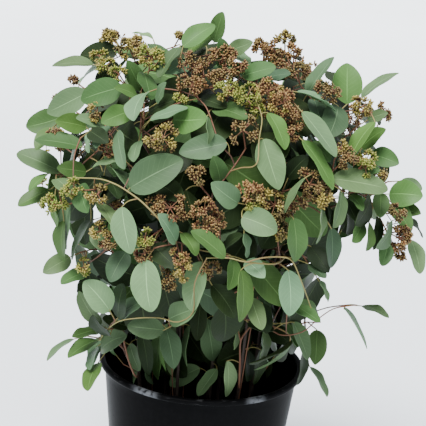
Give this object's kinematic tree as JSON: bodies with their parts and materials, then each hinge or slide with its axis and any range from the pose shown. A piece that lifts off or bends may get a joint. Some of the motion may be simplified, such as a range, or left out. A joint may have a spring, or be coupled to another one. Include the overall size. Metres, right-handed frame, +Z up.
{
  "type": "bucket of cut eucalyptus gum nut sprigs",
  "caption": "Black tapered bucket of water holding a full dome of cut eucalyptus stems with round grey-green leaves, thin twigs and heads of small gum nuts.",
  "frame": {"origin": "centre of the bucket's flat base, on the ground", "axes": "+Z up, +X to the right and +Y away from the viewer of the picture"},
  "size_m": [0.5687, 0.5516, 0.819],
  "materials": {
    "bucket": "black moulded plastic with a soft sheen",
    "water": "clear still water",
    "leafy_stem": "matt grey-green leaves, thin brown twigs and brown to yellow-green gum nuts"
  },
  "bodies": {
    "root": {"bucket": "bucket", "water": "water", "gum_nut_stem_01": "leafy_stem", "gum_nut_stem_02": "leafy_stem", "gum_nut_stem_03": "leafy_stem", "gum_nut_stem_04": "leafy_stem", "gum_nut_stem_05": "leafy_stem", "gum_nut_stem_06": "leafy_stem", "gum_nut_stem_07": "leafy_stem", "gum_nut_stem_08": "leafy_stem", "gum_nut_stem_09": "leafy_stem", "gum_nut_stem_10": "leafy_stem", "gum_nut_stem_11": "leafy_stem", "gum_nut_stem_12": "leafy_stem", "gum_nut_stem_13": "leafy_stem", "gum_nut_stem_14": "leafy_stem", "gum_nut_stem_15": "leafy_stem", "gum_nut_stem_16": "leafy_stem", "gum_nut_stem_17": "leafy_stem", "gum_nut_stem_18": "leafy_stem"}
  },
  "joints": []
}
